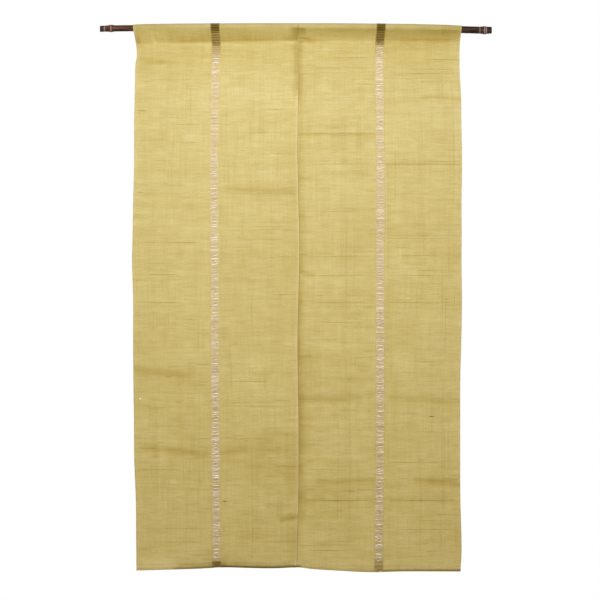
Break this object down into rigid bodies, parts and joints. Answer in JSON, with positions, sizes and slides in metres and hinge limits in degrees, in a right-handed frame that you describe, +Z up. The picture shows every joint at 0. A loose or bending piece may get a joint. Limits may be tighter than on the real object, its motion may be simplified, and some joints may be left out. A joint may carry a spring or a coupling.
{
  "type": "noren curtain with bamboo rod",
  "caption": "Split hemp doorway curtain of two panels seamed at the top, with an openwork ladder stripe in each, hung by its rod pocket on a bamboo rod.",
  "frame": {"origin": "on the bamboo rod's axis, in the middle of the curtain's width, where the rod is carried", "axes": "+X along the rod to the viewer's right, -Y towards the viewer, +Z up along the hang of the cloth"},
  "size_m": [1.073, 0.0254, 1.5048],
  "materials": {
    "cloth": "matt plain-woven hemp in yellow ochre, slubbed along the weft, darkening softly towards the hem",
    "bamboo": "dark brown stained bamboo with a low satin gloss and paler rings at its nodes"
  },
  "bodies": {
    "root": {"panel_left": "cloth", "panel_right": "cloth", "rod": "bamboo"}
  },
  "joints": []
}
